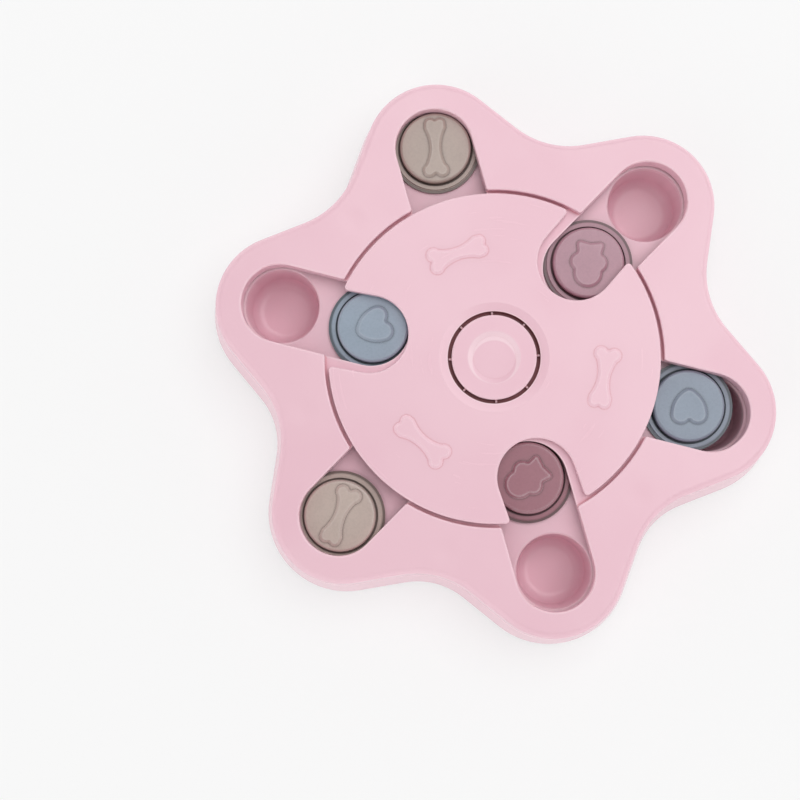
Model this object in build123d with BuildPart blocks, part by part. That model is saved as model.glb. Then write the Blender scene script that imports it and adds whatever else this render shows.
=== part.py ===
"""Slow feeder puzzle bowl: six food wells under sliding pucks, round a turntable.

Millimetres, Z up, the origin on the floor under the hub. Lobe 1 points along +X, and the
lobes are counted anticlockwise seen from above.
"""

import os
from math import acos, atan2, cos, degrees, hypot, radians, sin, sqrt, tan

from build123d import *

os.makedirs("parts", exist_ok=True)

# Outline of the body where cover and base meet
lobe_count = 6
lobe_tip_radius = 125.5
lobe_depth = 27.0
lobe_round = 32.0
flank_share = 0.289

# Heights and walls of the body
body_height = 36.0
seam_drop = 4.4
skirt_lift = 1.6
base_flare_angle = 11.0
cover_draft_angle = 5.0
shoulder_round = 3.0
seam_chamfer = 0.5
rim_round = 0.9
wall = 2.4
lip_gap = 0.3

# Slots in the cover and the pucks that slide in them
slot_width = 34.0
slot_rim = 12.5
hub_land = 18.1
slot_wall_depth = 3.9
slot_edge_round = 0.7
slot_corner_round = 1.2
button_gap = 1.4
flange_lap = 2.6
flange_thick = 2.2
flange_step_width = 1.5
flange_step = 0.8
flange_groove_width = 0.9
flange_groove_depth = 1.4
puck_wall = 1.8
button_edge_round = 1.3
slide_gap = 0.3
stop_gap = 0.3

# Raised shapes on pucks and turntable
relief_height = 1.0
relief_bevel = 1.2
relief_bevel_share = 0.85
bone_margin = 2.3
bone_waist = 5.4
bone_waist_round = 17.0
bone_knob = 3.1
bone_knob_spread = 5.7
bone_small_knob = 2.7
bone_small_spread = 4.3
bone_neck_round = 2.0
bone_cleft_round = 0.8
heart_width = 16.1
heart_length = 16.1
heart_lobe_radius = 4.4
heart_lobe_angle = 148.0
heart_cleft_round = 0.7
heart_apex_round = 3.5
ear_spread = 13.2
ear_rise = 9.9
brow_rise = 8.7
temple_spread = 11.0
temple_rise = 4.0
cheek_radius = 4.3
cheek_spread = 8.0
chin_radius = 6.4
chin_drop = 4.7
face_round = 1.0
ear_round = 1.8

# Food wells in the base
well_shelf = 0.7
well_draft_angle = 5.0
well_lip_round = 0.9
well_floor_round = 5.0

# Turntable and its recess
disc_rim = 26.6
disc_gap = 1.6
disc_proud = 0.4
disc_edge_round = 0.8
disc_skin = 2.2
recess_depth = 4.2
bearing_height = 0.5
bearing_radius = 22.0
notch_count = 3
notch_corner_round = 1.6
disc_turn_angle = 3.6

# Hub: post, cap, and the dish round the cap
post_radius = 12.0
running_gap = 0.1
cap_radius = 18.4
cap_thick = 2.2
cap_gap = 0.3
cap_well_radius = 20.0
cap_edge_round = 0.7
cap_dish_radius = 11.4
cap_dish_floor = 9.2
cap_dish_depth = 0.7
cap_rib_count = 8
cap_rib_width = 0.8
cap_rib_drop = 1.2
cap_turn_angle = 16.9
gutter_skin = 0.8
disc_dish_width = 3.9
disc_dish_depth = 0.8
cap_skin = 0.9
stem_radius = 4.0
stem_web = 1.4

# Screws, their bosses, and the base's ribs
screw_radius = 1.5
screw_head_radius = 3.0
screw_head_height = 2.2
screw_cross_width = 0.9
screw_cross_depth = 1.1
screw_gap = 0.05
screw_clearance = 0.25
head_clearance = 0.4
boss_radius = 4.4
screw_rim = 12.5
thread_depth = 6.0
hub_ring_gap = 8.3
hub_ring_wall = 3.0
driver_hole_radius = 7.0
rib_thick = 2.0
rib_depth = 9.0

# Soft feet under the wells
foot_radius = 9.0
foot_height = 2.8
foot_seat = 0.8
foot_gap = 0.1
foot_round = 0.6

# How far a cut runs past the face it opens
overrun = 1.0

# Pucks: name, raised shape, lobe, share of the travel out from the inner stop, share of the play to
# the left of the slot's middle line, and the shape's heading
slider_shares = [
    ("heart_slider_1", "heart", 0, 0.77, 0.8, 14.4),
    ("face_slider_2", "face", 1, 0.12, -0.3, 8.4),
    ("bone_slider_3", "bone", 2, 1.0, -0.7, 16.1),
    ("heart_slider_4", "heart", 3, 0.01, -0.5, 125.4),
    ("bone_slider_5", "bone", 4, 0.967, 0.0, 171.4),
    ("face_slider_6", "face", 5, 0.0, 0.0, -39.6),
]

# Places worked out from the sizes above
lobe_step = 360 / lobe_count
half_step = lobe_step / 2
slot_half = slot_width / 2
slot_outer = lobe_tip_radius - slot_rim - slot_half
slot_inner = cap_well_radius + hub_land + slot_half
slot_reach = slot_outer - slot_inner
slot_middle = (slot_outer + slot_inner) / 2
button_radius = slot_half - button_gap
flange_radius = slot_half + flange_lap
well_radius = slot_half - well_shelf
bone_length = 2 * (button_radius - bone_margin)
valley_radius = lobe_tip_radius - lobe_depth
disc_radius = valley_radius - disc_rim
disc_bone_radius = (cap_well_radius + disc_dish_width + disc_radius) / 2
puck_play = slot_half - button_radius - stop_gap
inner_stop = slot_inner - puck_play

roof = body_height - wall
recess_floor = body_height - recess_depth
recess_radius = disc_radius + disc_gap
slot_foot = recess_floor - slot_wall_depth
flange_top = slot_foot - slide_gap
deck = flange_top - flange_thick
disc_bottom = recess_floor + bearing_height
disc_top = body_height + disc_proud
disc_thick = disc_top - disc_bottom
relief_top = disc_bottom - slide_gap
button_top = relief_top - relief_height
relief_bevel_rise = relief_bevel_share * relief_height
cap_bottom = disc_top - cap_thick
cap_pilot_top = disc_top - cap_dish_depth - cap_skin
cap_rib_tip = cap_well_radius - cap_gap
disc_ledge = cap_bottom - cap_gap
gutter_floor = disc_bottom + gutter_skin
hub_floor = recess_floor - wall
hub_ring_outer = inner_stop - flange_radius - hub_ring_gap
hub_ring_inner = hub_ring_outer - hub_ring_wall
deck_under = deck - wall
seam_height = deck - seam_drop
cup_bottom = foot_height
well_floor = cup_bottom + wall
well_slope = tan(radians(well_draft_angle))
flare_out = (seam_height - skirt_lift) * tan(radians(base_flare_angle))
plug_inset = wall + lip_gap
rib_end = slot_outer - well_radius - wall - lip_gap
screw_circle = valley_radius - screw_rim

# The outline's straight flanks touch both the lobe's round and the valley's round. The valley's
# round is the largest that leaves the flank its share of the way between them
lobe_centre = lobe_tip_radius - lobe_round
lobe_centre_across = lobe_centre * cos(radians(half_step))
lobe_centre_along = lobe_centre * sin(radians(half_step))
flank_limit = (valley_radius - lobe_centre_across) ** 2 + lobe_centre_along**2 - lobe_round**2
valley_round = (1 - flank_share) * flank_limit / (2 * (lobe_centre_across + lobe_round - valley_radius))
valley_centre = valley_radius + valley_round
centre_across = valley_centre * cos(radians(half_step)) - lobe_centre
centre_along = valley_centre * sin(radians(half_step))
centre_angle = degrees(atan2(centre_along, centre_across))
flank_turn = degrees(acos((lobe_round + valley_round) / hypot(centre_across, centre_along)))
flank_normal = centre_angle - flank_turn
flank_reach = lobe_centre * cos(radians(flank_normal)) + lobe_round
tip_corner = flank_reach / cos(radians(flank_normal))
valley_corner = flank_reach / cos(radians(flank_normal - half_step))

with BuildSketch() as body_outline:
    with BuildLine():
        corners = []
        for lobe in range(lobe_count):
            corners.append(Vector(tip_corner, 0).rotate(Axis.Z, lobe * lobe_step))
            corners.append(Vector(valley_corner, 0).rotate(Axis.Z, lobe * lobe_step + half_step))
        Polyline(*corners, close=True)
    make_face()
    fillet(body_outline.vertices().filter_by(lambda v: v.center().length > lobe_tip_radius), lobe_round)
    fillet(body_outline.vertices().filter_by(lambda v: v.center().length < valley_radius), valley_round)

with BuildSketch() as slots:
    with PolarLocations(slot_middle, lobe_count):
        SlotCenterToCenter(slot_reach, slot_width)

# Top cover: a shell with a stepped recess, slot walls that hold the pucks down, and screw bosses
with BuildPart() as top_cover:
    with BuildSketch(Plane.XY.offset(seam_height)):
        add(body_outline.sketch)
    extrude(amount=body_height - seam_height + overrun, taper=cover_draft_angle)
    split(bisect_by=Plane.XY.offset(body_height), keep=Keep.BOTTOM)
    fillet(top_cover.faces().sort_by(Axis.Z)[-1].edges(), shoulder_round)
    chamfer(top_cover.faces().sort_by(Axis.Z)[0].edges(), seam_chamfer)
    with BuildSketch(Plane.XY.offset(seam_height)):
        add(body_outline.sketch)
        offset(amount=-wall)
    extrude(amount=roof - seam_height, taper=cover_draft_angle, mode=Mode.SUBTRACT)
    with BuildSketch(Plane.XY.offset(hub_floor)):
        Circle(recess_radius + wall)
    extrude(amount=roof - hub_floor)
    with BuildSketch(Plane.XY.offset(slot_foot)):
        with PolarLocations(slot_middle, lobe_count):
            SlotCenterToCenter(slot_reach, slot_width + 2 * wall)
    extrude(amount=roof - slot_foot)
    with BuildSketch(Plane.XY.offset(recess_floor)):
        Circle(recess_radius)
    extrude(amount=recess_depth + overrun, mode=Mode.SUBTRACT)
    with BuildSketch(Plane.XY.offset(slot_foot - overrun)):
        add(slots.sketch)
    extrude(amount=body_height - slot_foot + 2 * overrun, mode=Mode.SUBTRACT)
    mouth_corners = top_cover.edges().filter_by(Axis.Z).filter_by(
        lambda e: abs(e.center().Z - recess_floor - recess_depth / 2) < recess_depth / 4
    )
    fillet(mouth_corners, slot_corner_round)
    fillet(top_cover.faces().sort_by(Axis.Z)[-1].inner_wires().edges(), slot_edge_round)
    with BuildSketch(Plane.XY.offset(recess_floor)):
        Circle(bearing_radius)
    extrude(amount=bearing_height)
    with BuildSketch(Plane.XY.offset(recess_floor)):
        Circle(post_radius)
    extrude(amount=cap_bottom - recess_floor)
    with Locations((0, 0, cap_bottom)):
        Hole(stem_radius + screw_gap, depth=cap_bottom - hub_floor - stem_web)
        Hole(screw_radius + screw_clearance)
    with BuildSketch(Plane.XY.offset(deck)):
        with PolarLocations(screw_circle, lobe_count, start_angle=half_step):
            Circle(boss_radius)
    extrude(amount=roof - deck)
    with BuildSketch(Plane.XY.offset(deck)):
        with PolarLocations(screw_circle, lobe_count, start_angle=half_step):
            Circle(screw_radius + screw_gap)
    extrude(amount=thread_depth, mode=Mode.SUBTRACT)
top_cover.part.label = "top_cover"
export_step(top_cover.part, "parts/top_cover.step")

# Base shell: flared skirt, deck for the pucks with a hole over each cup, ribs and bosses underneath
with BuildPart() as base_shell:
    with BuildSketch(Plane.XY.offset(skirt_lift)):
        add(body_outline.sketch)
        offset(amount=flare_out)
    extrude(amount=seam_height - skirt_lift, taper=base_flare_angle)
    fillet(base_shell.faces().sort_by(Axis.Z)[0].edges(), rim_round)
    chamfer(base_shell.faces().sort_by(Axis.Z)[-1].edges(), seam_chamfer)
    with BuildSketch(Plane.XY.offset(seam_height)):
        add(body_outline.sketch)
        offset(amount=-plug_inset)
    extrude(amount=deck - seam_height, taper=cover_draft_angle)
    with BuildSketch(Plane.XY.offset(skirt_lift)):
        add(body_outline.sketch)
        offset(amount=flare_out - wall)
    extrude(amount=seam_height - wall - skirt_lift, taper=base_flare_angle, mode=Mode.SUBTRACT)
    with BuildSketch(Plane.XY.offset(seam_height - wall)):
        add(body_outline.sketch)
        offset(amount=-plug_inset - wall)
    extrude(amount=deck - seam_height, mode=Mode.SUBTRACT)
    with BuildSketch(Plane.XY.offset(deck_under)):
        with PolarLocations((rib_end + hub_ring_inner) / 2, lobe_count):
            Rectangle(rib_end - hub_ring_inner, rib_thick)
        with PolarLocations(screw_circle, lobe_count, start_angle=half_step):
            Circle(boss_radius)
        Circle(hub_ring_outer)
        Circle(hub_ring_inner, mode=Mode.SUBTRACT)
    extrude(amount=-rib_depth)
    with BuildSketch(Plane.XY.offset(deck)):
        Circle(hub_ring_outer)
    extrude(amount=hub_floor - deck)
    with BuildSketch(Plane.XY.offset(hub_floor)):
        Circle(hub_ring_inner)
    extrude(amount=deck - hub_floor, mode=Mode.SUBTRACT)
    with BuildSketch(Plane.XY.offset(deck)):
        with PolarLocations(slot_outer, lobe_count):
            Circle(well_radius)
    extrude(amount=-wall, taper=well_draft_angle, mode=Mode.SUBTRACT)
    deck_faces = base_shell.faces().filter_by(lambda f: abs(f.center().Z - deck) < slide_gap)
    round_edges = deck_faces.sort_by(SortBy.AREA)[-1].edges().filter_by(GeomType.CIRCLE)
    fillet(round_edges.filter_by(lambda e: abs(e.radius - well_radius) < slide_gap), well_lip_round)
    with BuildSketch(Plane.XY.offset(deck + overrun)):
        Circle(driver_hole_radius)
        with PolarLocations(screw_circle, lobe_count, start_angle=half_step):
            Circle(screw_radius + screw_clearance)
    extrude(amount=-wall - rib_depth - 2 * overrun, mode=Mode.SUBTRACT)
    with BuildSketch(Plane.XY.offset(deck_under)):
        with PolarLocations(screw_circle, lobe_count, start_angle=half_step):
            Circle(screw_head_radius + head_clearance)
    extrude(amount=-rib_depth - overrun, mode=Mode.SUBTRACT)
base_shell.part.label = "base_shell"
export_step(base_shell.part, "parts/base_shell.step")

# Food cups: they hang under the holes in the deck and carry the feet
cup_inside = well_radius - wall * well_slope
cup_outside = cup_inside + wall
cup_floor_inside = well_radius - (deck - well_floor) * well_slope
cup_foot_outside = cup_outside - (deck_under - cup_bottom) * well_slope
foot_seat_radius = foot_radius + foot_gap
with BuildPart() as cup_blank:
    with BuildSketch(Plane.XZ):
        Polygon(
            (0, cup_bottom + foot_seat),
            (foot_seat_radius, cup_bottom + foot_seat),
            (foot_seat_radius, cup_bottom),
            (cup_foot_outside, cup_bottom),
            (cup_outside, deck_under),
            (cup_inside, deck_under),
            (cup_floor_inside, well_floor),
            (0, well_floor),
            align=None,
        )
    revolve(axis=Axis.Z)
    cup_floor = cup_blank.faces().filter_by(Plane.XY).sort_by(lambda f: abs(f.center().Z - well_floor))[0]
    fillet(cup_floor.edges(), well_floor_round)

for lobe in range(lobe_count):
    spot = Vector(slot_outer, 0, 0).rotate(Axis.Z, lobe * lobe_step)
    with BuildPart() as food_cup:
        with Locations(Location(spot)):
            add(cup_blank.part)
    food_cup.part.label = f"food_cup_{lobe + 1}"
    export_step(food_cup.part, f"parts/food_cup_{lobe + 1}.step")

# Raised shapes, drawn pointing along +Y. The bone is waisted by one large round on each side
knob_y = bone_knob - bone_length / 2
small_knob_y = bone_length / 2 - bone_small_knob
knob_side = bone_knob_spread / 2 + bone_knob
small_knob_side = bone_small_spread / 2 + bone_small_knob
with BuildSketch() as bone:
    Polygon(
        (knob_side, knob_y),
        (small_knob_side, small_knob_y),
        (-small_knob_side, small_knob_y),
        (-knob_side, knob_y),
        align=None,
    )
    with GridLocations(bone_waist + 2 * bone_waist_round, 0, 2, 1):
        Circle(bone_waist_round, mode=Mode.SUBTRACT)
    with Locations((0, knob_y)):
        with GridLocations(bone_knob_spread, 0, 2, 1):
            Circle(bone_knob)
    with Locations((0, small_knob_y)):
        with GridLocations(bone_small_spread, 0, 2, 1):
            Circle(bone_small_knob)
    fillet(bone.vertices().filter_by(lambda v: abs(v.X) > bone_waist / 4), bone_neck_round)
    fillet(bone.vertices().filter_by(lambda v: abs(v.X) < bone_cleft_round), bone_cleft_round)

heart_lobe_x = heart_width / 2 - heart_lobe_radius
heart_lobe_y = heart_lobe_radius - heart_length / 2
heart_cleft_angle = degrees(acos(-heart_lobe_x / heart_lobe_radius))
with BuildSketch() as heart:
    with BuildLine():
        heart_lobe = CenterArc(
            (heart_lobe_x, heart_lobe_y), heart_lobe_radius, -heart_cleft_angle, heart_lobe_angle
        )
        TangentArc(heart_lobe @ 1, (0, heart_length / 2), tangent=heart_lobe % 1)
        mirror(about=Plane.YZ)
    make_face()
    fillet(heart.vertices().sort_by(Axis.Y)[-1], heart_apex_round)
    fillet(heart.vertices().sort_by(lambda v: abs(v.X))[0], heart_cleft_round)

with BuildSketch() as face:
    Polygon(
        (ear_spread / 2, ear_rise),
        (0, brow_rise),
        (-ear_spread / 2, ear_rise),
        (-temple_spread / 2, temple_rise),
        (0, -chin_drop),
        (temple_spread / 2, temple_rise),
        align=None,
    )
    with GridLocations(cheek_spread, 0, 2, 1):
        Circle(cheek_radius)
    with Locations((0, -chin_drop)):
        Circle(chin_radius)
    fillet(face.vertices().filter_by(lambda v: v.Y < brow_rise or abs(v.X) < ear_spread / 4), face_round)
    fillet(face.vertices().sort_by(Axis.Y)[-2:], ear_round)

reliefs = {"bone": bone.sketch, "heart": heart.sketch, "face": face.sketch}

# Turntable: a disc with three notches, cored out underneath, running on the hub post
notch_reach = disc_radius + slot_half - slot_inner
notch_middle = slot_inner + notch_reach / 2
notch_start = lobe_step + disc_turn_angle
with BuildSketch() as disc_plan:
    Circle(disc_radius)
    with PolarLocations(notch_middle, notch_count, start_angle=notch_start):
        SlotCenterToCenter(notch_reach, slot_width, mode=Mode.SUBTRACT)
    rim_corners = disc_plan.vertices().filter_by(lambda v: v.center().length > disc_radius - overrun)
    fillet(rim_corners, notch_corner_round)

with BuildPart() as turntable:
    with BuildSketch(Plane.XY.offset(disc_bottom)):
        add(disc_plan.sketch)
    extrude(amount=disc_thick)
    fillet(turntable.faces().sort_by(Axis.Z)[-1].edges(), disc_edge_round)
    with BuildSketch(Plane.XY.offset(disc_bottom)):
        Circle(disc_radius - disc_skin)
        with PolarLocations(notch_middle, notch_count, start_angle=notch_start):
            SlotCenterToCenter(notch_reach, slot_width + 2 * disc_skin, mode=Mode.SUBTRACT)
        Circle(bearing_radius + disc_skin, mode=Mode.SUBTRACT)
    extrude(amount=disc_thick - disc_skin, mode=Mode.SUBTRACT)
    with BuildSketch(Plane.XZ):
        Polygon(
            (0, disc_ledge),
            (cap_radius, disc_ledge),
            (cap_radius, gutter_floor),
            (cap_well_radius, gutter_floor),
            (cap_well_radius, disc_top - disc_dish_depth),
            (cap_well_radius + disc_dish_width, disc_top),
            (0, disc_top),
            align=None,
        )
    revolve(axis=Axis.Z, mode=Mode.SUBTRACT)
    with Locations((0, 0, disc_ledge)):
        Hole(post_radius + running_gap)
    with BuildSketch(Plane.XY.offset(disc_top)):
        with PolarLocations(disc_bone_radius, notch_count, start_angle=disc_turn_angle):
            add(bone.sketch, rotation=180)
    extrude(amount=relief_height)
    for relief_face in turntable.faces().sort_by(Axis.Z)[-notch_count:]:
        chamfer(relief_face.edges(), relief_bevel, relief_bevel_rise, reference=relief_face)
turntable.part.label = "turntable"
export_step(turntable.part, "parts/turntable.step")

# Hub cap: a dished button with ribs that centre it in the turntable, on a stem in the post
cap_rib_length = cap_rib_tip - cap_radius + overrun
with BuildPart() as hub_cap:
    with BuildSketch(Plane.XY.offset(cap_bottom)):
        Circle(cap_radius)
    extrude(amount=cap_thick)
    fillet(hub_cap.faces().sort_by(Axis.Z)[-1].edges(), cap_edge_round)
    with BuildSketch(Plane.XZ):
        Polygon(
            (0, disc_top - cap_dish_depth),
            (cap_dish_floor, disc_top - cap_dish_depth),
            (cap_dish_radius, disc_top),
            (0, disc_top),
            align=None,
        )
    revolve(axis=Axis.Z, mode=Mode.SUBTRACT)
    with BuildSketch(Plane.XY.offset(cap_bottom)):
        with PolarLocations(cap_rib_tip - cap_rib_length / 2, cap_rib_count, start_angle=cap_turn_angle):
            Rectangle(cap_rib_length, cap_rib_width)
    extrude(amount=cap_thick - cap_rib_drop)
    with BuildSketch(Plane.XY.offset(cap_bottom)):
        Circle(stem_radius)
    extrude(amount=hub_floor + stem_web + cap_gap - cap_bottom)
    with BuildSketch(Plane.XY.offset(cap_pilot_top)):
        Circle(screw_radius + screw_gap)
    extrude(amount=hub_floor - cap_pilot_top, mode=Mode.SUBTRACT)
hub_cap.part.label = "hub_cap"
export_step(hub_cap.part, "parts/hub_cap.step")

# Screws: one under the hub, six under the valleys, all with a cross recess
with BuildPart() as hub_screw:
    with BuildSketch(Plane.XY.offset(hub_floor)):
        Circle(screw_head_radius)
    extrude(amount=-screw_head_height)
    with BuildSketch(Plane.XY.offset(hub_floor)):
        Circle(screw_radius)
    extrude(amount=cap_pilot_top - head_clearance - hub_floor)
    with BuildSketch(Plane.XY.offset(hub_floor - screw_head_height)):
        Rectangle(screw_head_radius, screw_cross_width)
        Rectangle(screw_cross_width, screw_head_radius)
    extrude(amount=screw_cross_depth, mode=Mode.SUBTRACT)
hub_screw.part.label = "hub_screw"
export_step(hub_screw.part, "parts/hub_screw.step")

with BuildPart() as cover_screws:
    with BuildSketch(Plane.XY.offset(deck_under)):
        with PolarLocations(screw_circle, lobe_count, start_angle=half_step):
            Circle(screw_head_radius)
    extrude(amount=-screw_head_height)
    with BuildSketch(Plane.XY.offset(deck_under)):
        with PolarLocations(screw_circle, lobe_count, start_angle=half_step):
            Circle(screw_radius)
    extrude(amount=wall + thread_depth - head_clearance)
    with BuildSketch(Plane.XY.offset(deck_under - screw_head_height)):
        with PolarLocations(screw_circle, lobe_count, start_angle=half_step):
            Rectangle(screw_head_radius, screw_cross_width)
            Rectangle(screw_cross_width, screw_head_radius)
    extrude(amount=screw_cross_depth, mode=Mode.SUBTRACT)
cover_screws.part.label = "cover_screws"
export_step(cover_screws.part, "parts/cover_screws.step")

# Pucks: one moulding each, a button on a stepped flange with a groove round it, cored out underneath
button_rise = button_top - deck
puck_core = button_radius - puck_wall
flange_step_radius = flange_radius - flange_step_width
groove_radius = button_radius + flange_groove_width
with BuildPart() as puck_blank:
    with BuildSketch(Plane.XZ):
        Polygon(
            (puck_core, 0),
            (flange_radius, 0),
            (flange_radius, flange_thick - flange_step),
            (flange_step_radius, flange_thick - flange_step),
            (flange_step_radius, flange_thick),
            (groove_radius, flange_thick),
            (groove_radius, flange_thick - flange_groove_depth),
            (button_radius, flange_thick - flange_groove_depth),
            (button_radius, button_rise),
            (0, button_rise),
            (0, button_rise - puck_wall),
            (puck_core, button_rise - puck_wall),
            align=None,
        )
    revolve(axis=Axis.Z)
    fillet(puck_blank.faces().sort_by(Axis.Z)[-1].edges(), button_edge_round)

for name, relief, lobe, out_share, side_share, heading in slider_shares:
    side = side_share * puck_play
    end_play = sqrt(puck_play**2 - side**2)
    travel = slot_reach + 2 * end_play
    inward = out_share * travel
    out = slot_inner - end_play + inward
    spot = Vector(out, side, deck).rotate(Axis.Z, lobe * lobe_step)
    print(f"{name} slides {-inward:.2f} to {travel - inward:.2f}, {side:.2f} off the middle line")
    with BuildPart() as slider:
        with Locations(Location(spot)):
            add(puck_blank.part)
        with BuildSketch(Plane(Location(spot + Vector(0, 0, button_rise), (0, 0, heading)))):
            add(reliefs[relief])
        extrude(amount=relief_height)
        relief_face = slider.faces().sort_by(Axis.Z)[-1]
        chamfer(relief_face.edges(), relief_bevel, relief_bevel_rise, reference=relief_face)
    slider.part.label = name
    export_step(slider.part, f"parts/{name}.step")

# Feet: soft pads glued in the seats under the wells
for lobe in range(lobe_count):
    spot = Vector(slot_outer, 0, 0).rotate(Axis.Z, lobe * lobe_step)
    with BuildPart() as foot:
        with BuildSketch():
            with Locations(spot):
                Circle(foot_radius)
        extrude(amount=cup_bottom + foot_seat)
        fillet(foot.faces().sort_by(Axis.Z)[0].edges(), foot_round)
    foot.part.label = f"foot_{lobe + 1}"
    export_step(foot.part, f"parts/foot_{lobe + 1}.step")

print(f"body {2 * (lobe_tip_radius + flare_out):.1f} across the lobes, {disc_top + relief_height:.1f} high")
print(f"inner stop {inner_stop:.2f}, deck {deck:.2f}, well floor {well_floor:.2f}")
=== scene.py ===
# %% [markdown]
# # A lobed puzzle feeder in moulded plastic
# This feeder has six wells. A puck with a raised bone, heart or animal face slides over each well, and a
# turntable with three notches lies over the pucks. The solids of all its parts come packed from the CAD
# model, as a fixed frame in metres with the floor at zero. This script adds what the solids lack:
# finishes, a few small parts in full detail, light, a floor and a camera. Values that were chosen have
# names in capitals, and what follows from them or from the solids has a name in small letters.
# %% Load the solids
import math

import bmesh
import bpy
from mathutils import Matrix, Vector


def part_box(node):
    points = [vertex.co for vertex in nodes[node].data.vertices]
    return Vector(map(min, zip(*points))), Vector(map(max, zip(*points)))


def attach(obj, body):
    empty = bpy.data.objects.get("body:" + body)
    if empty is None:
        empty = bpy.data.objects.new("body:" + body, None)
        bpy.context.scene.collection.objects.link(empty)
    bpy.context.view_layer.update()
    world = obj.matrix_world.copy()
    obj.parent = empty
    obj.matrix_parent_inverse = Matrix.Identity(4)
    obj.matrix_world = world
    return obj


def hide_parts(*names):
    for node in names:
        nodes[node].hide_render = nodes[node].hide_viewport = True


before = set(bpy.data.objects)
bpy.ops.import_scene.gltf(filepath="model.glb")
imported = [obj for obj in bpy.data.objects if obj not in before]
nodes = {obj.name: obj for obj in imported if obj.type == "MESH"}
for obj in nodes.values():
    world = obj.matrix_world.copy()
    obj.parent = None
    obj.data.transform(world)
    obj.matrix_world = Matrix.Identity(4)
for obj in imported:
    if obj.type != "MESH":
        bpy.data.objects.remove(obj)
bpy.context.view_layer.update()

# %% [markdown]
# The places of new pieces follow from the solids, so that a change in the CAD model moves them too. The
# boxes of two nodes give the height of the cover's top and the circle of the screws, which stand in the
# valleys between the lobes. Lengths are in metres, and are printed in millimetres.
# %% Measure the solids
LOBE_COUNT = 6
SCREW_HEAD_RADIUS = 0.0030


def mm(*lengths):
    """Lengths as text, in millimetres."""
    return ", ".join(f"{length * 1000:.1f}" for length in lengths) + " mm"


lobe_step = math.tau / LOBE_COUNT
cover_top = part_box("top_cover")[1].z
screws_low, screws_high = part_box("cover_screws")
screw_circle = screws_high.y - SCREW_HEAD_RADIUS
print(f"cover top at {mm(cover_top)}, screws {mm(screw_circle)} from the hub")

# %% [markdown]
# The photograph looks down from a little to the side, close enough that the depth of the wells shows
# on their inner walls. A camera can be set by hand until it looks right, or solved from points whose
# places on the object are known. It was solved here, from the ends of the slots, the wells and the
# edge of the turntable: the eye hangs over a point on the cover, looks at another, and the picture's
# upward direction has a heading on the object.
# %% Camera
EYE_FOOT_X, EYE_FOOT_Y, EYE_HEIGHT = -0.0088, -0.0715, 0.650
AIM_X, AIM_Y = -0.03485, -0.02805
UP_HEADING = math.radians(104.43)
LENS_MM, SENSOR_MM = 67.9, 36.0
CLIP_START, CLIP_END = 0.01, 20.0

eye_foot = Vector((EYE_FOOT_X, EYE_FOOT_Y, cover_top))
eye = eye_foot + Vector((0, 0, EYE_HEIGHT))
forward = (Vector((AIM_X, AIM_Y, cover_top)) - eye).normalized()
picture_up = Vector((math.cos(UP_HEADING), math.sin(UP_HEADING), 0))
picture_right = Vector((math.sin(UP_HEADING), -math.cos(UP_HEADING), 0))
camera_side = forward.cross(picture_up).normalized()
camera_up = camera_side.cross(forward)
camera_turn = Matrix((camera_side, camera_up, -forward)).transposed().to_4x4()


def add_object(name, data, matrix=Matrix()):
    """Puts an object into the scene, turned and placed by a matrix."""
    made = bpy.data.objects.new(name, data)
    made.matrix_world = matrix
    bpy.context.scene.collection.objects.link(made)
    return made


lens = bpy.data.cameras.new("photo_lens")
lens.lens, lens.sensor_width = LENS_MM, SENSOR_MM
lens.clip_start, lens.clip_end = CLIP_START, CLIP_END
bpy.context.scene.camera = add_object("photo_camera", lens, Matrix.Translation(eye) @ camera_turn)
print("camera at", mm(*eye))

# %% [markdown]
# A finish is a net of shader nodes, and nets are hard to read as lists of links. One small class wraps
# an output socket so that sums can be written as Python expressions, and each operator adds one Math
# node. A second class holds one node tree, and its only way to add a node takes the node's type, its
# settings, and the values or links of its sockets.
# %% Shader expressions
class Wire:
    """An output socket in a node tree, usable in Python expressions."""

    def __init__(self, net, socket):
        self.net = net
        self.socket = socket

    def other(self, output):
        """Another output of the same node."""
        return Wire(self.net, self.socket.node.outputs[output])

    def __add__(self, other):
        return self.net.math("ADD", self, other)

    def __radd__(self, other):
        return self.net.math("ADD", other, self)

    def __sub__(self, other):
        return self.net.math("SUBTRACT", self, other)

    def __rsub__(self, other):
        return self.net.math("SUBTRACT", other, self)

    def __mul__(self, other):
        return self.net.math("MULTIPLY", self, other)

    def __rmul__(self, other):
        return self.net.math("MULTIPLY", other, self)

    def __mod__(self, other):
        return self.net.math("FLOORED_MODULO", self, other)

    def __rmod__(self, other):
        return self.net.math("FLOORED_MODULO", other, self)


class Net:
    """One node tree. node() adds a node and returns one of its outputs as a Wire."""

    def __init__(self, tree):
        self.tree = tree

    def node(self, kind, settings=None, sockets=None, output=0):
        made = self.tree.nodes.new(kind)
        for name, value in (settings or {}).items():
            setattr(made, name, value)
        for name, value in (sockets or {}).items():
            self.feed(made.inputs[name], value)
        return Wire(self, made.outputs[output])

    def feed(self, socket, value):
        if isinstance(value, Wire):
            self.tree.links.new(value.socket, socket)
        else:
            socket.default_value = value

    def math(self, operation, first, second=0.0):
        return self.node("ShaderNodeMath", {"operation": operation}, {0: first, 1: second})


print("shader expressions ready")

# %% [markdown]
# The same few nodes come back in every pattern: the place on the piece, clouds of noise, a smooth step
# between two values, a blend of two colours, and the distance from an upright axis and the angle round
# it. Each gets a short name here. A Mix node has sockets for numbers, vectors and colours side by side
# under the same names, so its colour sockets are given by their places.
# %% Patterns
COLOUR_A, COLOUR_B, COLOUR_OUT = 6, 7, 2
HUB = Vector((0, 0))


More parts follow.
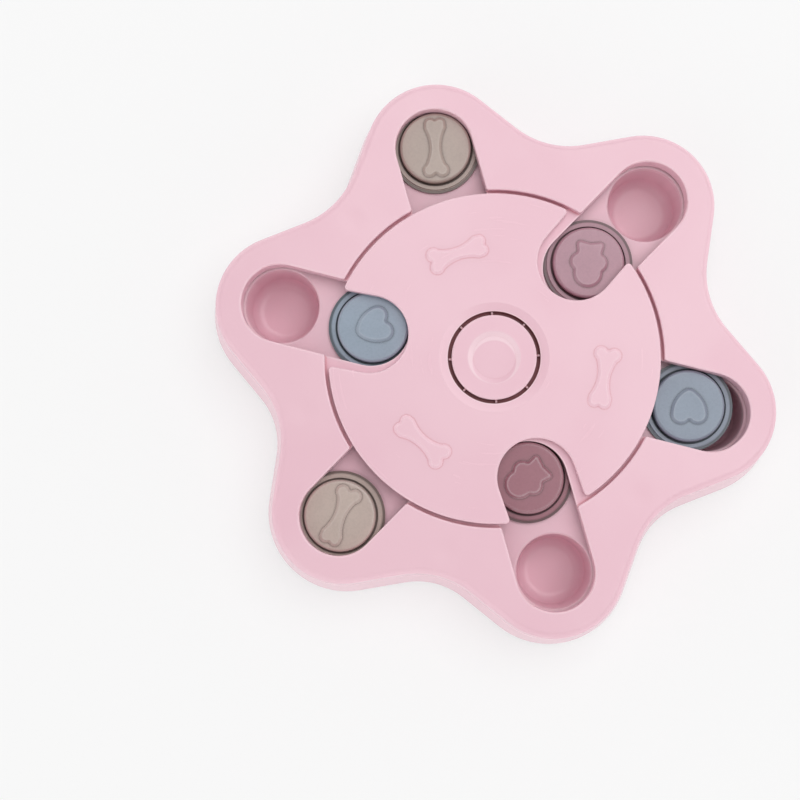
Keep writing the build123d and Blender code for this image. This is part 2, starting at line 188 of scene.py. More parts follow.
class Pattern(Net):
    """A node tree with the nodes that patterns on a piece are made of."""

    def __init__(self, tree):
        super().__init__(tree)
        self.place = self.node("ShaderNodeTexCoord", output="Object")

    def clouds(self, size, detail=2, roughness=0.5, place=None):
        sockets = {"Scale": 1 / size, "Detail": detail, "Roughness": roughness}
        return self.node("ShaderNodeTexNoise", {}, sockets | {"Vector": place or self.place})

    def step(self, value, low, high):
        sockets = {"Value": value, "From Min": low, "From Max": high}
        return self.node("ShaderNodeMapRange", {"interpolation_type": "SMOOTHSTEP"}, sockets)

    def blend(self, share, first, second):
        sockets = {0: share, COLOUR_A: first, COLOUR_B: second}
        return self.node("ShaderNodeMix", {"data_type": "RGBA"}, sockets, COLOUR_OUT)

    def point(self, x, y):
        return self.node("ShaderNodeCombineXYZ", {}, {0: x, 1: y})

    def length(self, vector):
        return self.node("ShaderNodeVectorMath", {"operation": "LENGTH"}, {0: vector}, "Value")

    def offsets(self, axis):
        """How far to the side of an upright axis a place lies, along X and along Y."""
        x = self.node("ShaderNodeSeparateXYZ", {}, {0: self.place}, "X")
        return x - axis.x, x.other("Y") - axis.y

    def distance(self, axis=HUB):
        """The distance from an upright axis."""
        return self.length(self.point(*self.offsets(axis)))

    def turn(self, axis=HUB):
        """The angle round an upright axis."""
        across, along = self.offsets(axis)
        return self.math("ARCTAN2", along, across)


print("patterns ready")

# %% [markdown]
# A finish is a material with a Principled shader. What is the same all over a surface is set on the
# shader's own sockets, and what changes comes from a pattern. Where grooves and edges lie could be painted
# by hand or kept in the mesh, but the Ambient Occlusion node finds them on any piece: it tells how much of
# the piece's own surface lies within reach, outside the plastic for grooves and inside it for edges.
# %% Finishes
NEARNESS_SAMPLES = 8
CORNER_SPAN, LINE_SPAN = (0.10, 0.60), (0.01, 0.10)


class Finish(Pattern):
    """A material with a Principled shader, grooves, edges and bumps."""

    def __init__(self, name, **constants):
        self.material = bpy.data.materials.new(name)
        self.material.use_nodes = True
        super().__init__(self.material.node_tree)
        self.shader = self.tree.nodes["Principled BSDF"]
        for socket, value in constants.items():
            self.shader.inputs[socket.replace("_", " ")].default_value = value

    def nearness(self, reach, inside):
        """How much of the piece's own surface lies within reach, outside or inside the plastic."""
        settings = {"only_local": True, "inside": inside, "samples": NEARNESS_SAMPLES}
        return 1 - self.node("ShaderNodeAmbientOcclusion", settings, {"Distance": reach}, "AO")

    def corners(self, reach):
        """1 deep in a groove or corner of the piece itself, 0 on open faces."""
        return self.step(self.nearness(reach, inside=False), *CORNER_SPAN)

    def creases(self, reach):
        """1 on a thin line along each inner crease of the piece."""
        return self.step(self.nearness(reach, inside=False), *LINE_SPAN)

    def edges(self, reach):
        """1 on a thin line along each outer edge of the piece."""
        return self.step(self.nearness(reach, inside=True), *LINE_SPAN)

    def bump(self, height, depth, under=None):
        sockets = {"Height": height, "Distance": depth, "Strength": 1.0}
        if under:
            sockets["Normal"] = under
        return self.node("ShaderNodeBump", {}, sockets)

    def shade(self, **channels):
        for channel, value in channels.items():
            self.feed(self.shader.inputs[channel.replace("_", " ")], value)
        return self


def dress(finish, *names):
    """Gives a finish to nodes of the CAD model."""
    for name in names:
        for spot in nodes[name].material_slots:
            spot.material = finish.material
    print(f"{finish.material.name}: {', '.join(names)}")


print("finishes ready")

# %% [markdown]
# The body is pink plastic with a satin gloss from a polished mould. Close up it is not one colour: the
# melt cools unevenly, which leaves slow drifts of tone, and the pigment shows as faint specks. Grooves
# and inner corners get painted shade, a deeper tone, and they are duller too; outer edges get a painted
# highlight, a paler tone. A moulded flat is never quite flat either, so a long low ripple bends its
# reflections, and a very fine grain breaks them up.
# The lines of painted shade along creases and of painted highlight along edges come from how near the
# piece's own surface is, and their reach is shorter than any wall is thick, because a thin wall would
# count as an edge.
# %% Values of the pink plastic
PINK, DEEP_PINK = (0.878, 0.578, 0.655, 1), (0.820, 0.490, 0.580, 1)
# Painted shade, for corners and creases, and for the gutter round the hub cap:
CORNER_SHADE_PINK, GAP_PINK = (0.600, 0.140, 0.165, 1), (0.240, 0.055, 0.065, 1)
# Painted highlight, for outer edges:
EDGE_HIGHLIGHT_PINK = (0.960, 0.740, 0.790, 1)
CORNER_REACH, LINE_REACH = 0.0025, 0.0008

# Widths of the patterns, and depths of the bumps
DRIFT_SIZE, SPECK_SIZE, GRAIN_SIZE, RIPPLE_SIZE = 0.055, 0.0011, 0.00045, 0.034
GRAIN_DEPTH, RIPPLE_DEPTH, SINK_DEPTH = 0.000008, 0.00030, 0.00016
DRIFT_SPAN = 0.38, 0.72

# Shares in the colour; the second row holds the painted highlight on edges and the painted shade in corners
# and creases
DRIFT_TONE, SPECK_TONE, MARK_TONE = 0.35, 0.14, 0.15
EDGE_HIGHLIGHT_TONE, CORNER_SHADE_TONE, CREASE_SHADE_TONE = 0.50, 0.38, 0.35

# Shares in the roughness, on top of the plain satin
SATIN, DRIFT_DULL, GRAIN_DULL, MARK_DULL, CORNER_DULL = 0.19, 0.06, 0.05, 0.10, 0.25
print(f"pink plastic: drifts of {mm(DRIFT_SIZE)}, specks of {mm(SPECK_SIZE)}")

# %% [markdown]
# One function builds the pink finish for all the pieces, so that they match. It takes extras: marks that
# make the surface deeper in tone and duller, a height that is pressed into it, a gap that gets painted
# shade whole, places that get a painted highlight, and a tint that deepens the whole piece.
# %% Pink plastic
def body_plastic(finish, marks=0.0, pressed=None, gap=None, painted_highlight=None, tint=0.0):
    drift = finish.clouds(DRIFT_SIZE, detail=3)
    specks = finish.clouds(SPECK_SIZE, detail=2)
    grain = finish.clouds(GRAIN_SIZE, detail=1)
    ripple = finish.clouds(RIPPLE_SIZE, detail=1)
    corners = finish.corners(CORNER_REACH)

    tone = finish.step(drift, *DRIFT_SPAN) * DRIFT_TONE + specks * SPECK_TONE + marks * MARK_TONE + tint
    colour = finish.blend(tone, PINK, DEEP_PINK)
    # Painted highlight along outer edges, and on places that are given
    colour = finish.blend(finish.edges(LINE_REACH) * EDGE_HIGHLIGHT_TONE, colour, EDGE_HIGHLIGHT_PINK)
    if painted_highlight:
        colour = finish.blend(painted_highlight, colour, EDGE_HIGHLIGHT_PINK)
    # Painted shade in corners and along creases
    painted_shade = finish.math("MAXIMUM", corners * CORNER_SHADE_TONE, finish.creases(LINE_REACH) * CREASE_SHADE_TONE)
    colour = finish.blend(painted_shade, colour, CORNER_SHADE_PINK)
    if gap:
        colour = finish.blend(gap, colour, GAP_PINK)

    skin = finish.bump(ripple, RIPPLE_DEPTH)
    if pressed:
        skin = finish.bump(1 - pressed, SINK_DEPTH, under=skin)
    dullness = drift * DRIFT_DULL + grain * GRAIN_DULL + marks * MARK_DULL + corners * CORNER_DULL
    return finish.shade(
        Base_Color=colour,
        Roughness=dullness + SATIN,
        Normal=finish.bump(grain, GRAIN_DEPTH, under=skin),
    )


food_cups = [f"food_cup_{lobe + 1}" for lobe in range(LOBE_COUNT)]
dress(body_plastic(Finish("pink_base")), "base_shell", *food_cups)

# %% [markdown]
# Where a screw boss stands under the cover, the plastic is thicker, cools last and pulls the surface in.
# The sink marks that this leaves show as soft dimples in the valleys between the lobes. They repeat
# six times, so the angle round the hub is folded into one step of a sixth of a turn, and one dimple is
# drawn there.
# %% Cover with sink marks
SINK_RADIUS = 0.0075


def sink_marks(finish):
    radius = finish.distance()
    folded = (finish.turn() + math.tau) % lobe_step - lobe_step / 2
    along = radius * finish.math("COSINE", folded) - screw_circle
    across = radius * finish.math("SINE", folded)
    return 1 - finish.step(finish.length(finish.point(along, across)), 0.0, SINK_RADIUS)


cover = Finish("pink_cover")
dress(body_plastic(cover, pressed=sink_marks(cover)), "top_cover")

# %% [markdown]
# The turntable is wiped and turned in use, so its gloss carries faint rubbing marks in arcs round the
# hub. Noise drawn in a frame of distance and angle, stretched along the angle, gives such arcs, and a
# slow cloud keeps them to patches. The gutter round the hub cap is narrow and deep, and light hardly
# gets out of it again, so the ring between the cap's edge and the gutter's wall is shaded whole.
# %% Turntable with rubbing marks
CAP_RADIUS, GUTTER_RADIUS, RING_BLUR = 0.0184, 0.0200, 0.0002
ARCS_PER_METRE, ARCS_PER_RADIAN = 420, 1.6
PATCH_SIZE = 0.030
ARC_SPAN, PATCH_SPAN = (0.54, 0.74), (0.46, 0.66)


def ring(finish, inner, outer):
    """1 between two circles round the hub."""
    radius = finish.distance()
    past_inner = finish.step(radius, inner - RING_BLUR, inner)
    past_outer = finish.step(radius, outer, outer + RING_BLUR)
    return past_inner * (1 - past_outer)


def rubbing_marks(finish):
    unrolled = finish.point(finish.distance() * ARCS_PER_METRE, finish.turn() * ARCS_PER_RADIAN)
    arcs = finish.clouds(1, detail=2, roughness=0.6, place=unrolled)
    patches = finish.clouds(PATCH_SIZE, detail=2)
    return finish.step(arcs, *ARC_SPAN) * finish.step(patches, *PATCH_SPAN)


table = Finish("pink_turntable")
gutter = ring(table, CAP_RADIUS, GUTTER_RADIUS)
dress(body_plastic(table, marks=rubbing_marks(table), gap=gutter), "turntable")

# %% [markdown]
# The hub cap has a shallow dish in the middle. A paler ring runs round the dish's slope, as a painted
# highlight. Its inner circle is off centre, which makes the ring wider on one side. The small ribs that
# centre the cap stand in the gutter and share its painted shade.
# %% Hub cap with a painted highlight in the dish
DISH_OUTER, DISH_INNER, DISH_BLUR = 0.0118, 0.0090, 0.0008
DISH_SHIFT = Vector((0.00050, -0.00194))
# Shares of the painted highlight in the dish and of the painted shade on the ribs, and the cap's tint
DISH_HIGHLIGHT_TONE, RIB_SHADE_TONE, CAP_TINT = 0.6, 0.5, 0.3


def dish_highlight(finish):
    # Painted highlight: a pale ring on the slope of the dish, with its inner circle off centre
    past_inner = finish.step(finish.distance(DISH_SHIFT), DISH_INNER, DISH_INNER + DISH_BLUR)
    past_outer = finish.step(finish.distance(), DISH_OUTER - DISH_BLUR, DISH_OUTER)
    return past_inner * (1 - past_outer)


cap = Finish("pink_cap")
ribs = ring(cap, CAP_RADIUS + RING_BLUR, GUTTER_RADIUS)
dress(body_plastic(cap, painted_highlight=dish_highlight(cap) * DISH_HIGHLIGHT_TONE, gap=ribs * RIB_SHADE_TONE, tint=CAP_TINT), "hub_cap")

# %% [markdown]
# The pucks are moulded in three muted colours. Each puck's colour is set on its own, so the two pucks of a
# pair differ: partly in their own tone, and partly as painted light, which makes up for how much light
# falls where each puck sits. Each puck's other tones follow from its own colour: a deeper one, a paler one
# for the painted highlight on its raised edges, and one for the painted shade in its hollows, which keeps
# more red on the warm colours than on the cool ones. The painted highlight is strongest on the darkest
# puck.
# %% Puck colours
# Shares of each colour kept in the painted shade of a puck's hollows
WARM_SHADE, COOL_SHADE = (0.26, 0.20, 0.19), (0.17, 0.20, 0.21)
# Shares of the painted highlight on the raised edges, strongest on the darkest puck
WEAK_HIGHLIGHT, FULL_HIGHLIGHT = 0.4, 1.0
# Each colour is set per puck; part of the difference within a pair is painted light, set for the light
# falling where each puck sits
PUCKS = {
    "bone_slider_3": ((0.440, 0.345, 0.298), WARM_SHADE, WEAK_HIGHLIGHT),
    "bone_slider_5": ((0.550, 0.440, 0.388), WARM_SHADE, WEAK_HIGHLIGHT),
    "face_slider_2": ((0.448, 0.230, 0.290), WARM_SHADE, WEAK_HIGHLIGHT),
    "face_slider_6": ((0.330, 0.118, 0.156), WARM_SHADE, FULL_HIGHLIGHT),
    "heart_slider_1": ((0.240, 0.294, 0.375), COOL_SHADE, WEAK_HIGHLIGHT),
    "heart_slider_4": ((0.292, 0.362, 0.450), COOL_SHADE, WEAK_HIGHLIGHT),
}
DEEP_SHARE, PALE_SHARE = 0.86, 0.25


def puck_tones(colour, shade_shares):
    """A puck's plain and deep tones, the pale tone of its painted highlight, and the tone of its painted
    shade.
    """
    deep = [c * DEEP_SHARE for c in colour]
    pale = [c + (1 - c) * PALE_SHARE for c in colour]
    shade_tone = [c * share for c, share in zip(colour, shade_shares)]
    return [(*tone, 1) for tone in (colour, deep, pale, shade_tone)]


print(len(PUCKS), "puck colours")

# %% [markdown]
# The moulds of the pucks have a spark-eroded skin: a dense fine grain, stronger than on the body, that
# takes the gloss down and leaves a soft sheen. The puck's zones are rings: the button, a groove round
# it, the flange, and the flange's rim, which runs under the slot's walls.
# %% Values of the puck plastics
PUCK_SPECULAR = 0.85
PUCK_LINE_REACH = 0.0011
BUTTON_RADIUS, GROOVE_RADIUS, RIM_RADIUS, ZONE_BLUR = 0.0156, 0.0166, 0.0186, 0.0002

# Widths of the patterns, and depths of the bumps
PUCK_DRIFT_SIZE, PUCK_SPECK_SIZE, PUCK_GRAIN_SIZE = 0.016, 0.0009, 0.00055
PUCK_DRIFT_DEPTH, PUCK_GRAIN_DEPTH = 0.00012, 0.000014
PUCK_DRIFT_SPAN, PUCK_SPECK_SPAN = (0.35, 0.70), (0.42, 0.66)

# Shares in the colour
PUCK_DRIFT_TONE, PUCK_SPECK_TONE = 0.35, 0.45
# Painted shade in corners, along creases and on the flange's rim, and how much weaker it is on the flange
PUCK_CORNER_SHADE, PUCK_CREASE_SHADE, RIM_SHADE = 0.85, 0.62, 0.95
FLANGE_RELIEF = 0.7

# Shares in the roughness, on top of the plain sheen
SHEEN, PUCK_GRAIN_DULL, PUCK_DRIFT_DULL, PUCK_CORNER_DULL = 0.24, 0.10, 0.04, 0.25
print(f"puck plastics: drifts of {mm(PUCK_DRIFT_SIZE)}, specks of {mm(PUCK_SPECK_SIZE)}")

# %% [markdown]
# Painted shade in the hollows beside the raised figures is drawn by how near the puck's own surface is. On
# the button it is strong, on the flange it is weak, and the rim gets painted shade all round. The raised
# edges of the button get a painted highlight. The puck is a body of its own that slides, so its circles
# are drawn round the middle of its own box. The pattern stays on it when it moves, because Object
# coordinates move with the piece.
# %% Puck plastics
def puck_plastic(puck, colour, shade_shares, highlight_share):
    finish = Finish(puck.replace("slider", "plastic"), Specular_IOR_Level=PUCK_SPECULAR)
    plain, deep, pale, shade_tone = puck_tones(colour, shade_shares)
    low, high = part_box(puck)
    radius = finish.distance(((low + high) / 2).to_2d())
    button = 1 - finish.step(radius, BUTTON_RADIUS - ZONE_BLUR, BUTTON_RADIUS)
    flange = finish.step(radius, GROOVE_RADIUS, GROOVE_RADIUS + ZONE_BLUR)
    rim = finish.step(radius, RIM_RADIUS - ZONE_BLUR, RIM_RADIUS)

    drift = finish.clouds(PUCK_DRIFT_SIZE, detail=2)
    specks = finish.step(finish.clouds(PUCK_SPECK_SIZE, detail=3, roughness=0.65), *PUCK_SPECK_SPAN)
    grain = finish.clouds(PUCK_GRAIN_SIZE, detail=2)
    corners = finish.corners(CORNER_REACH)
    creases = finish.creases(PUCK_LINE_REACH)
    edges = finish.edges(PUCK_LINE_REACH) * button

    tone = finish.step(drift, *PUCK_DRIFT_SPAN) * PUCK_DRIFT_TONE + specks * PUCK_SPECK_TONE
    # Painted highlight on the button's raised edges
    colour = finish.blend(edges * highlight_share, finish.blend(tone, plain, deep), pale)
    # Painted shade in hollows, weaker on the flange, and all round the rim
    painted_shade = finish.math("MAXIMUM", corners * PUCK_CORNER_SHADE, creases * PUCK_CREASE_SHADE)
    shaded = finish.math("MAXIMUM", painted_shade * (1 - flange * FLANGE_RELIEF), rim * RIM_SHADE)
    return finish.shade(
        Base_Color=finish.blend(shaded, colour, shade_tone),
        Roughness=SHEEN + grain * PUCK_GRAIN_DULL + drift * PUCK_DRIFT_DULL + corners * PUCK_CORNER_DULL,
        Normal=finish.bump(grain, PUCK_GRAIN_DEPTH, under=finish.bump(drift, PUCK_DRIFT_DEPTH)),
    )


for puck, settings in PUCKS.items():
    dress(puck_plastic(puck, *settings), puck)

# %% [markdown]
# The screws under the body are zinc-plated pan heads with a cross recess. Plating is not a mirror: it
# has a fine spangle with slight changes of tone and gloss, which one noise gives to all three channels.
# %% Plated steel
PALE_ZINC, DARK_ZINC = (0.62, 0.63, 0.65, 1), (0.45, 0.46, 0.49, 1)
SPANGLE_SIZE, SPANGLE_DEPTH = 0.0009, 0.000008
ZINC_GLOSS, SPANGLE_DULL = 0.26, 0.16


def plated_steel():
    finish = Finish("zinc_plate", Metallic=1.0)
    spangle = finish.clouds(SPANGLE_SIZE, detail=3, roughness=0.6)
    return finish.shade(
        Base_Color=finish.blend(spangle, PALE_ZINC, DARK_ZINC),
        Roughness=ZINC_GLOSS + spangle * SPANGLE_DULL,
        Normal=finish.bump(spangle, SPANGLE_DEPTH),
    )


steel = plated_steel()
print(steel.material.name, "made")

# %% [markdown]
# A piece that is modelled here stands for a CAD node, rides on the body that carries that node, and takes
# its place from it. All of them belong to the housing, which doesn't move. Doubles are merged first,
# because outward normals can only be found on a closed surface.
# %% Pieces of the housing
MERGE_DISTANCE = 1e-6
SHARP_ANGLE = math.radians(35)


def keep_piece(name, shape, finish, node):
    """Turns a bmesh into a finished piece on the housing, in place of a node."""
    bmesh.ops.remove_doubles(shape, verts=shape.verts, dist=MERGE_DISTANCE)
    bmesh.ops.recalc_face_normals(shape, faces=shape.faces)
    mesh = bpy.data.meshes.new(name)
    shape.to_mesh(mesh)
    shape.free()
    mesh.shade_smooth()
    mesh.set_sharp_from_angle(angle=SHARP_ANGLE)
    mesh.materials.append(finish.material)
    piece = add_object(name, mesh)
    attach(piece, "housing")
    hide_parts(node)
    print(f"{name}: {len(mesh.polygons)} faces, top at {mm(max(v.co.z for v in mesh.vertices))}")


print(f"edges sharper than {math.degrees(SHARP_ANGLE):.0f} degrees stay sharp")

# %% [markdown]
# The solids' screw heads are flat discs with a cross recess, and a pan head is domed, with a recess that
# narrows towards its floor. It could be cut with a boolean, but a few mesh operators keep it clean: a
# small grid without its corners is the cross, a circle round it is the flat of the head, the two are
# bridged, the cross is pushed in, and the circle is extruded out and down in rings to the shank. Each
# screw is made facing up and then turned over.
# %% Pan-head screws
SHANK_RADIUS, FLAT_RADIUS, HEAD_SEGMENTS = 0.0015, 0.00208, 24
CROSS_REACH, CROSS_DEPTH, CROSS_TAPER = 0.0015, 0.0011, 0.55
HEAD_RINGS = [
    # Radius, and drop below the flat
    (0.0026, 0.00030),
    (0.0029, 0.00085),
    (SCREW_HEAD_RADIUS, 0.00140),
    (SCREW_HEAD_RADIUS, 0.00220),
    (SHANK_RADIUS, 0.00220),
]


def edges_between(shape, verts):
    chosen = set(verts)
    return [e for e in shape.edges if chosen.issuperset(e.verts)]


def new_verts(extruded):
    return [v for v in extruded["geom"] if isinstance(v, bmesh.types.BMVert)]


def cross_recess(shape, before):
    """Makes the flat of a head with a cross pressed into it, and returns the edges round the flat."""
    grid = bmesh.ops.create_grid(shape, x_segments=3, y_segments=3, size=CROSS_REACH)["verts"]
    grid_corners = [v for v in grid if len(v.link_faces) == 1]
    bmesh.ops.delete(shape, geom=grid_corners, context="VERTS")
    arms = [f for f in shape.faces if not before.intersection(f.verts)]
    cross = edges_between(shape, [v for f in arms for v in f.verts])
    outline = [e for e in cross if e.is_boundary]
    circle = bmesh.ops.create_circle(shape, radius=FLAT_RADIUS, segments=HEAD_SEGMENTS)["verts"]
    loop = edges_between(shape, circle)
    bmesh.ops.bridge_loops(shape, edges=outline + loop)

    floor_verts = new_verts(bmesh.ops.extrude_face_region(shape, geom=arms))
    bmesh.ops.delete(shape, geom=arms, context="FACES_ONLY")
    bmesh.ops.scale(shape, vec=(CROSS_TAPER, CROSS_TAPER, 1), verts=floor_verts)
    bmesh.ops.translate(shape, vec=(0, 0, -CROSS_DEPTH), verts=floor_verts)
    return loop


def head_and_shank(shape, loop, length):
    """Extrudes the edges round the flat out and down, ring by ring, to the end of the shank."""
    reach = FLAT_RADIUS
    for radius, drop in HEAD_RINGS + [(SHANK_RADIUS, length)]:
        loop_verts = new_verts(bmesh.ops.extrude_edge_only(shape, edges=loop))
        bmesh.ops.scale(shape, vec=(radius / reach, radius / reach, 1), verts=loop_verts)
        bmesh.ops.translate(shape, vec=(0, 0, -drop - loop_verts[0].co.z), verts=loop_verts)
        loop, reach = edges_between(shape, loop_verts), radius
    bmesh.ops.edgeloop_fill(shape, edges=loop)


print(f"pan heads {mm(2 * SCREW_HEAD_RADIUS)} across, on shanks of {mm(2 * SHANK_RADIUS)}")

# %% [markdown]
# One screw stands under the hub, and six stand in the valleys between the lobes. The boxes of their nodes
# give the height of the head's face and of the shank's tip. The six are one piece, as in the CAD model.
# %% Screws in place
def pan_screw(shape, foot, head_face, tip):
    """Adds one screw whose head faces down at head_face and whose shank ends at tip."""
    before = set(shape.verts)
    head_and_shank(shape, cross_recess(shape, before), tip - head_face)
    made = [v for v in shape.verts if v not in before]
    bmesh.ops.rotate(shape, cent=(0, 0, 0), matrix=Matrix.Rotation(math.pi, 3, "X"), verts=made)
    bmesh.ops.translate(shape, vec=(foot.x, foot.y, head_face), verts=made)


valley_screws = bmesh.new()
for lobe in range(LOBE_COUNT):
    valley = (lobe + 0.5) * lobe_step
    boss = Vector((math.cos(valley), math.sin(valley))) * screw_circle
    pan_screw(valley_screws, boss, screws_low.z, screws_high.z)
keep_piece("valley_screws", valley_screws, steel, "cover_screws")

middle_screw = bmesh.new()
hub_low, hub_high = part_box("hub_screw")
pan_screw(middle_screw, HUB, hub_low.z, hub_high.z)
keep_piece("middle_screw", middle_screw, steel, "hub_screw")

# %% [markdown]
# The feet are soft rubber pads. Rubber from a blasted mould is matt, with a dusty bloom in patches.
# %% Foot rubber
RUBBER, DUSTY_RUBBER = (0.52, 0.34, 0.39, 1), (0.60, 0.43, 0.47, 1)
RUBBER_SPECULAR = 0.3
BLOOM_SIZE, GRIT_SIZE, GRIT_DEPTH = 0.004, 0.0005, 0.00003
BLOOM_SPAN = 0.4, 0.7
MATT, GRIT_DULL = 0.66, 0.20


def foot_rubber():
    finish = Finish("foot_rubber", Specular_IOR_Level=RUBBER_SPECULAR)
    bloom = finish.step(finish.clouds(BLOOM_SIZE, detail=3), *BLOOM_SPAN)
    grit = finish.clouds(GRIT_SIZE, detail=2)
    return finish.shade(
        Base_Color=finish.blend(bloom, RUBBER, DUSTY_RUBBER),
        Roughness=MATT + grit * GRIT_DULL,
        Normal=finish.bump(grit, GRIT_DEPTH),
    )


rubber = foot_rubber()
print(rubber.material.name, "made")

# %% [markdown]
# Such pads have rings moulded into their underside, which grip the floor and let water out. A pad is
# round, so half of its section is drawn once, as a chain of points, and spun about its own axis. A small
# bevel softens the ring edges, because rubber has no sharp ones.
# %% Grip feet
FOOT_SECTION = [
    # Share of the radius, and height
    (0.00, 0.0009), (0.40, 0.0009), (0.45, 0.0000), (0.58, 0.0000),
    (0.62, 0.0006), (0.73, 0.0006), (0.77, 0.0000), (0.93, 0.0000),
    (1.00, 0.0005), (1.00, 0.0036), (0.00, 0.0036),
]
FOOT_STEPS, FOOT_BEVEL, BEVEL_SEGMENTS = 56, 0.00012, 2
BEVEL_ANGLE = math.radians(30)


def grip_foot(axis_foot, reach):
    pad = bmesh.new()
    places = [axis_foot + Vector((share * reach, 0, height)) for share, height in FOOT_SECTION]
    chain = [pad.verts.new(place) for place in places]
    links = [pad.edges.new(pair) for pair in zip(chain, chain[1:])]
    bmesh.ops.spin(
        pad, geom=chain + links, cent=axis_foot, axis=(0, 0, 1),
        angle=math.tau, steps=FOOT_STEPS, use_merge=True,
    )
    bmesh.ops.remove_doubles(pad, verts=pad.verts, dist=MERGE_DISTANCE)
    bmesh.ops.bevel(
        pad, geom=[e for e in pad.edges if e.calc_face_angle(0) > BEVEL_ANGLE],
        offset=FOOT_BEVEL, offset_type="OFFSET", segments=BEVEL_SEGMENTS,
        profile=0.5, affect="EDGES", material=-1,
    )
    return pad


for lobe in range(LOBE_COUNT):
    node = f"foot_{lobe + 1}"
    foot_low, foot_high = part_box(node)
    middle = (foot_low + foot_high) / 2
    pad = grip_foot(Vector((middle.x, middle.y, 0)), (foot_high.x - foot_low.x) / 2)
    keep_piece(f"grip_{node}", pad, rubber, node)

# %% [markdown]
# The feeder stands on a plain floor, which is one large sheet. It isn't a part of the object.
# %% Floor
FLOOR_REACH = 4.0

floor_mesh = bpy.data.meshes.new("floor")
sheet = bmesh.new()
bmesh.ops.create_grid(sheet, x_segments=1, y_segments=1, size=FLOOR_REACH)
sheet.to_mesh(floor_mesh)
sheet.free()
add_object("floor", floor_mesh)
print(f"floor at 0, {2 * FLOOR_REACH} m across")

# %% [markdown]
# The floor is white. Lit like the object, it would come out light grey, so for the camera, and for
# reflections, part of it glows at white, while the rest takes the light and keeps the object's soft
# shadow.
# %% White of the floor
WHITE, OFF_WHITE = (0.93, 0.93, 0.93, 1), (0.90, 0.90, 0.90, 1)
FLOOR_ROUGHNESS, FLOOR_CLOUDS = 0.9, 0.4
GLOW, GLOW_SHARE = 1.0, 0.6


def seen_directly(net):
    """1 for rays from the camera, a reflection or a clear body, 0 for the light that falls on things."""
    camera_ray = net.node("ShaderNodeLightPath", output="Is Camera Ray")
    glossy, clear = camera_ray.other("Is Glossy Ray"), camera_ray.other("Is Transmission Ray")
    return net.math("MAXIMUM", camera_ray, net.math("MAXIMUM", glossy, clear))


white = Finish("white_floor", Roughness=FLOOR_ROUGHNESS, Specular_IOR_Level=0.0)
white.shade(Base_Color=white.blend(white.clouds(FLOOR_CLOUDS, detail=1), OFF_WHITE, WHITE))
glow = white.node("ShaderNodeEmission", {}, {"Color": (1, 1, 1, 1), "Strength": GLOW})
lit = Wire(white, white.shader.outputs[0])
mixed = white.node("ShaderNodeMixShader", {}, {0: seen_directly(white) * GLOW_SHARE, 1: lit, 2: glow})
white.feed(white.tree.nodes["Material Output"].inputs["Surface"], mixed)
floor_mesh.materials.append(white.material)
print(f"{GLOW_SHARE:.0%} of the floor's white glows")

# %% [markdown]
# The light is a studio's: a white tent round the feeder, one large softbox, and a weak card opposite it.
# The photograph shows pale rims on every rounded edge and dark gaps beside the pucks, so the tent is
# white at the sides, where it lights flanks and rims, and dimmer overhead, where it would reach into the
# gaps. A direction's height, from 0 at the horizon to 1 overhead, sets where it dims.
# %% White tent
SIDES, OVERHEAD = 1.5, 0.30
DIM_FROM, DIM_TO = 0.05, 0.75

tent = bpy.data.worlds.new("white_tent")
tent.use_nodes = True
bpy.context.scene.world = tent
air = Net(tent.node_tree)
rise = air.node("ShaderNodeSeparateXYZ", {}, {0: air.node("ShaderNodeTexCoord", output="Generated")}, "Z")
dimming = {"Value": rise, "From Min": DIM_FROM, "From Max": DIM_TO, "To Min": SIDES, "To Max": OVERHEAD}
strength = air.node("ShaderNodeMapRange", {"interpolation_type": "SMOOTHSTEP"}, dimming)
backdrop = air.tree.nodes["Background"]
air.feed(backdrop.inputs["Color"], (1, 1, 1, 1))
air.feed(backdrop.inputs["Strength"], strength)
print(f"tent {SIDES} at the sides, {OVERHEAD} overhead")

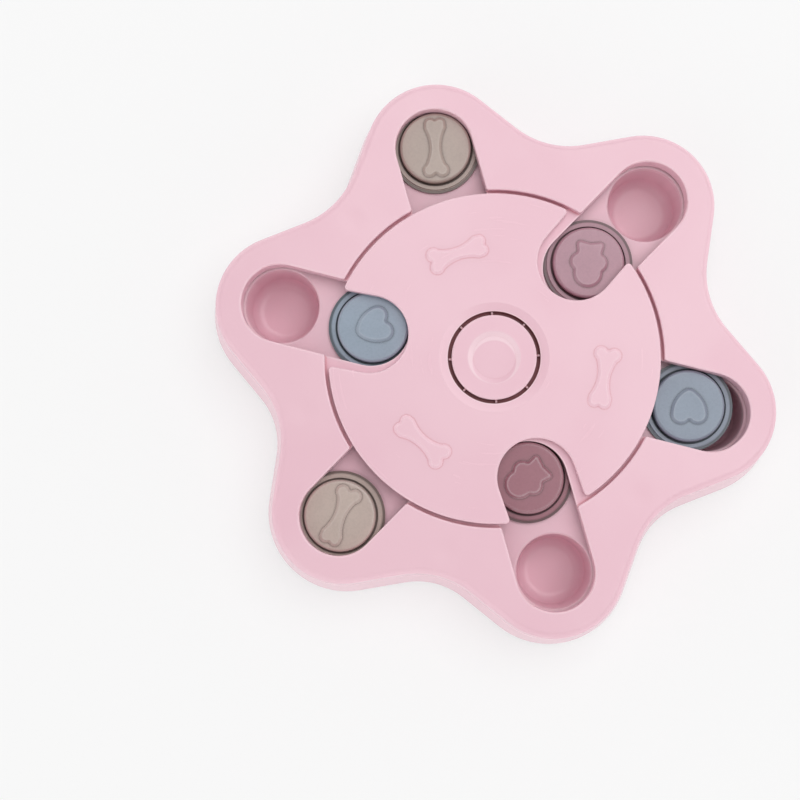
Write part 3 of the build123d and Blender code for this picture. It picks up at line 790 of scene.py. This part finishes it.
# %% [markdown]
# The softbox hangs level above the feeder, to the right and behind. The photograph shows its reflection
# as a paler sheet over the upper right of the cover, with a soft edge that runs from the left lobe down
# to the bottom lobe. Where the softbox's near edge must hang follows from the mirror law: a ray from the
# eye to the edge's picture on the cover goes on upwards at the same slope. A panel's power is given by
# how bright its face is, because that doesn't change with its size.
# %% Softbox
SOFTBOX_HEIGHT, SOFTBOX_WIDTH, SOFTBOX_DEPTH = 2.6, 2.8, 2.4
SOFTBOX_RADIANCE = 1.95
SOFTBOX_RISE = math.radians(41.6)
REFLECTED_EDGE = 0.0335


def light_panel(name, width, depth, radiance, spot, turned):
    """A rectangle that shines evenly, itself hidden from the camera."""
    panel = bpy.data.lights.new(name, "AREA")
    panel.shape, panel.size, panel.size_y = "RECTANGLE", width, depth
    panel.energy = radiance * math.pi * width * depth
    lamp = add_object(name, panel, Matrix.Translation(spot) @ turned)
    lamp.visible_camera = False
    print(f"{name} at {mm(*spot)}, {panel.energy:.1f} W")


outward = picture_right * math.cos(SOFTBOX_RISE) + picture_up * math.sin(SOFTBOX_RISE)
near_edge = REFLECTED_EDGE * (1 + SOFTBOX_HEIGHT / EYE_HEIGHT)
softbox_spot = eye_foot + outward * (near_edge + SOFTBOX_DEPTH / 2) + Vector((0, 0, SOFTBOX_HEIGHT))
softbox_turn = Matrix.Rotation(math.atan2(outward.y, outward.x) - math.pi / 2, 4, "Z")
light_panel("softbox", SOFTBOX_WIDTH, SOFTBOX_DEPTH, SOFTBOX_RADIANCE, softbox_spot, softbox_turn)

# %% [markdown]
# A white card stands opposite the softbox and sends a part of its light back, from so low that no level
# face mirrors it towards the eye. Without it the deck is dark along the slots' right-hand walls, which
# stand between it and the softbox. In the photograph it is about as pale there as elsewhere.
# %% Reflector card
CARD_SIZE, CARD_DISTANCE, CARD_RADIANCE = 2.0, 2.5, 0.8
CARD_RISE = math.radians(45)

card_heading = Vector((0, 0, math.sin(CARD_RISE))) - outward * math.cos(CARD_RISE)
card_spot = eye_foot + card_heading * CARD_DISTANCE
card_turn = card_heading.to_track_quat("Z", "Y").to_matrix().to_4x4()
light_panel("reflector_card", CARD_SIZE, CARD_SIZE, CARD_RADIANCE, card_spot, card_turn)

bpy.context.scene.view_settings.view_transform = "Standard"
